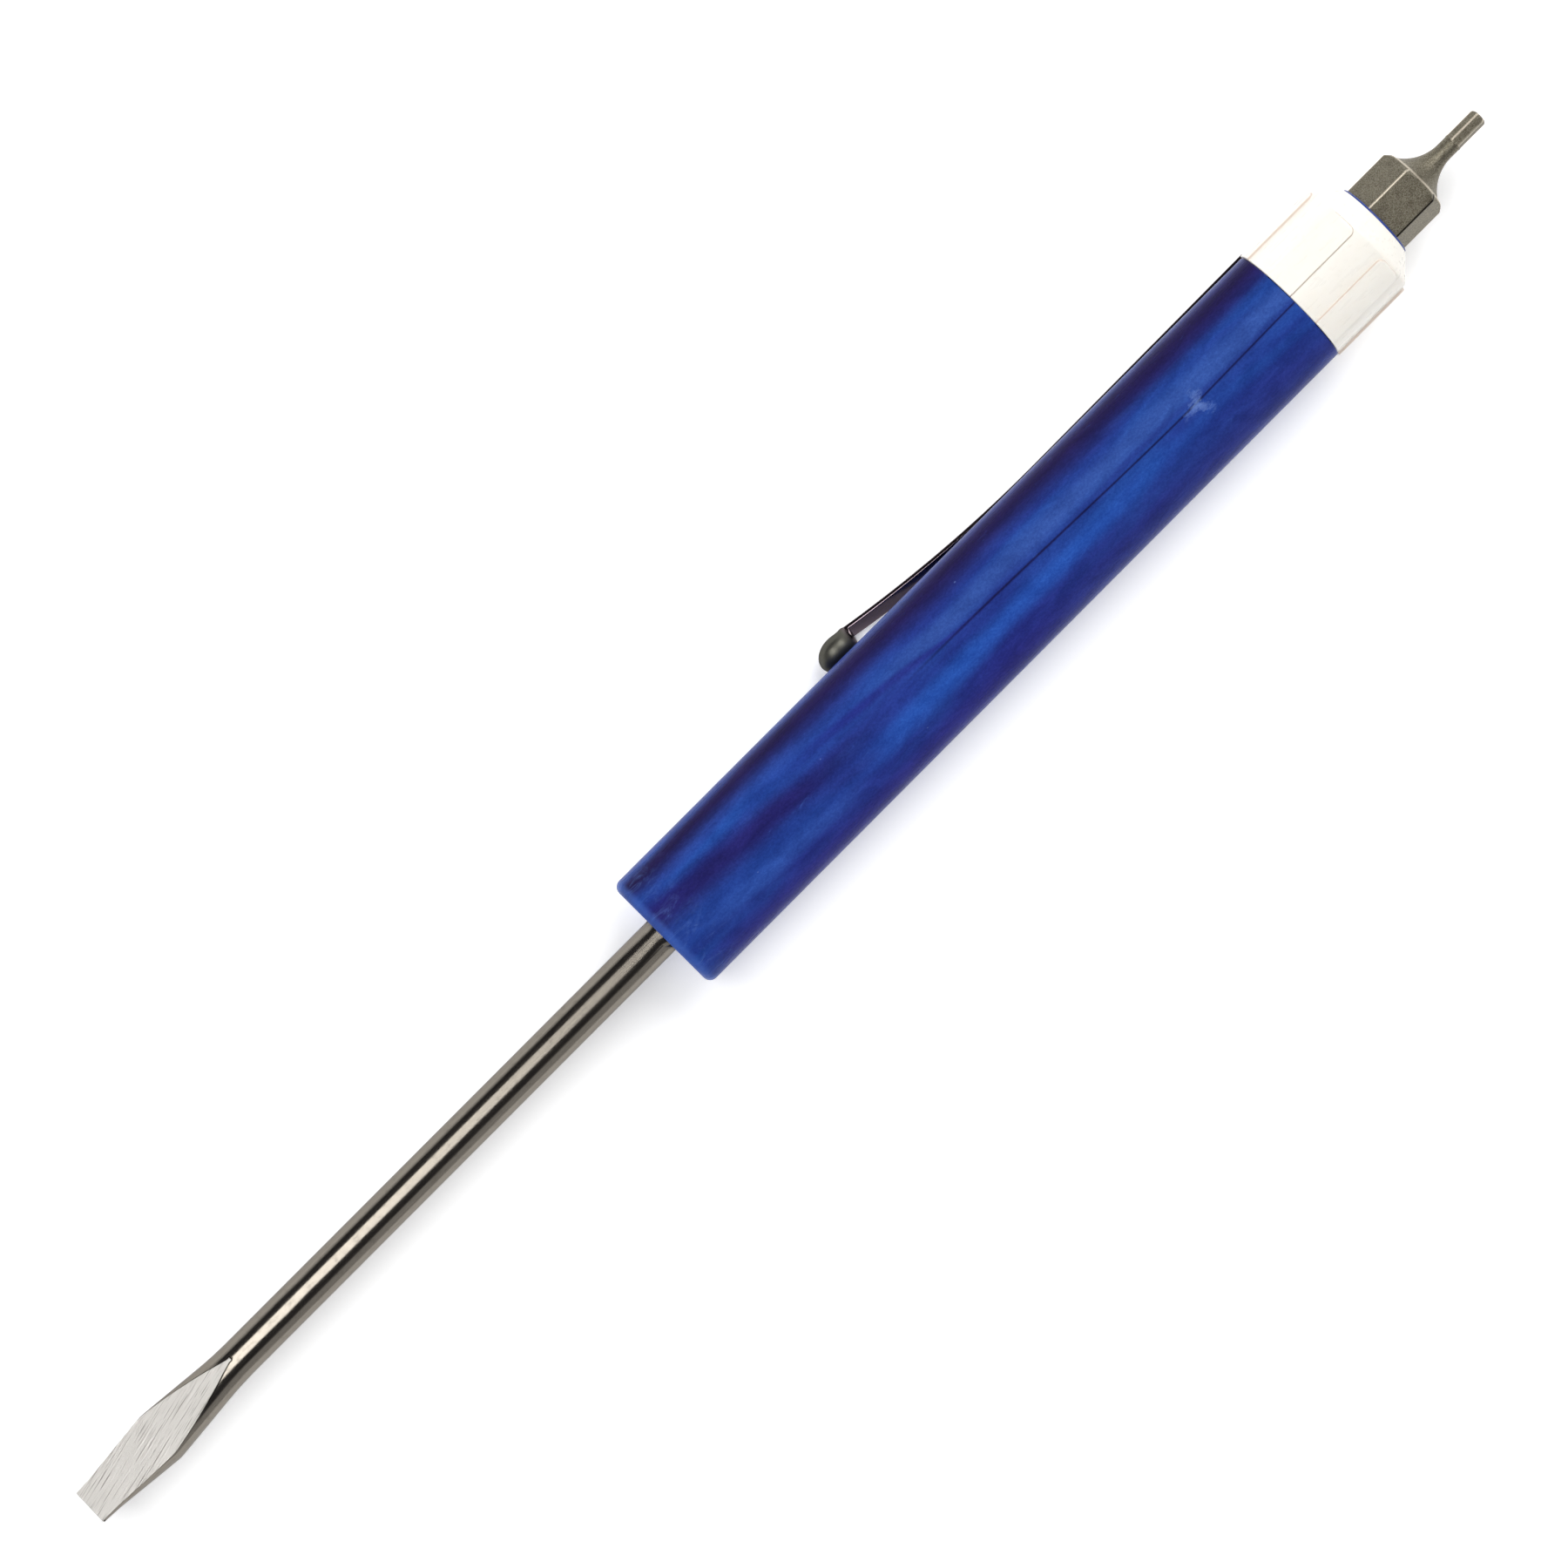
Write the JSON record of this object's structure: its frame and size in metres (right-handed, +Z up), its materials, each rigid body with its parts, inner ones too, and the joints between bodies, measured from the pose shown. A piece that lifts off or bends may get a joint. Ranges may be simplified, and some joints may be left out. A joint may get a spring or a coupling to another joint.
{
  "type": "pocket screwdriver",
  "caption": "Pocket screwdriver with a slotted blade in a blue barrel, a white collar with raised pads holding a hexagon key bit, and a sprung pocket clip.",
  "frame": {"origin": "on the surface the tool lies on, under the middle of its bounding box", "axes": "+X along the tool's axis towards the slotted blade tip, +Z up, the clip low on the -Y side"},
  "size_m": [0.1736, 0.0142, 0.0123],
  "materials": {
    "barrel_blue": "pearlescent moulded plastic, glossy, with flow streaks",
    "insert_black": "moulded acetal, satin",
    "spring_steel": "bright drawn wire",
    "blade_nickel": "dark nickel plate, polished, with ground flats at the tip",
    "socket_blue": "moulded plastic, satin",
    "magnet_nickel": "nickel-plated magnet",
    "collar_white": "white moulded plastic, semi-gloss",
    "clip_chrome": "bright plated spring strip",
    "bit_grey": "bead-blasted tool steel, matte"
  },
  "bodies": {
    "handle": {"barrel": "barrel_blue", "drive_insert": "insert_black", "blade_spring_ring": "spring_steel", "bit_socket": "socket_blue", "magnet": "magnet_nickel", "collar": "collar_white", "clip_ring": "clip_chrome"},
    "blade": {"blade": "blade_nickel"},
    "bit": {"bit": "bit_grey"},
    "clip": {"clip_arm": "clip_chrome"}
  },
  "joints": [
    {"name": "blade_slide", "type": "slide", "parent": "handle", "child": "blade", "axis": [1, 0, 0], "range_m": [0, 0.074]},
    {"name": "bit_slide", "type": "slide", "parent": "handle", "child": "bit", "axis": [-1, 0, 0], "range_m": [0, 0.0118]},
    {"name": "clip_flex", "type": "hinge", "parent": "handle", "child": "clip", "pos_m": [-0.063, -0.00426, 0.00255], "axis": [0, 0.5707, -0.8211], "range_deg": [0, 3], "stiffness_Nm_per_rad": 0.4, "springref_deg": -2.86}
  ]
}
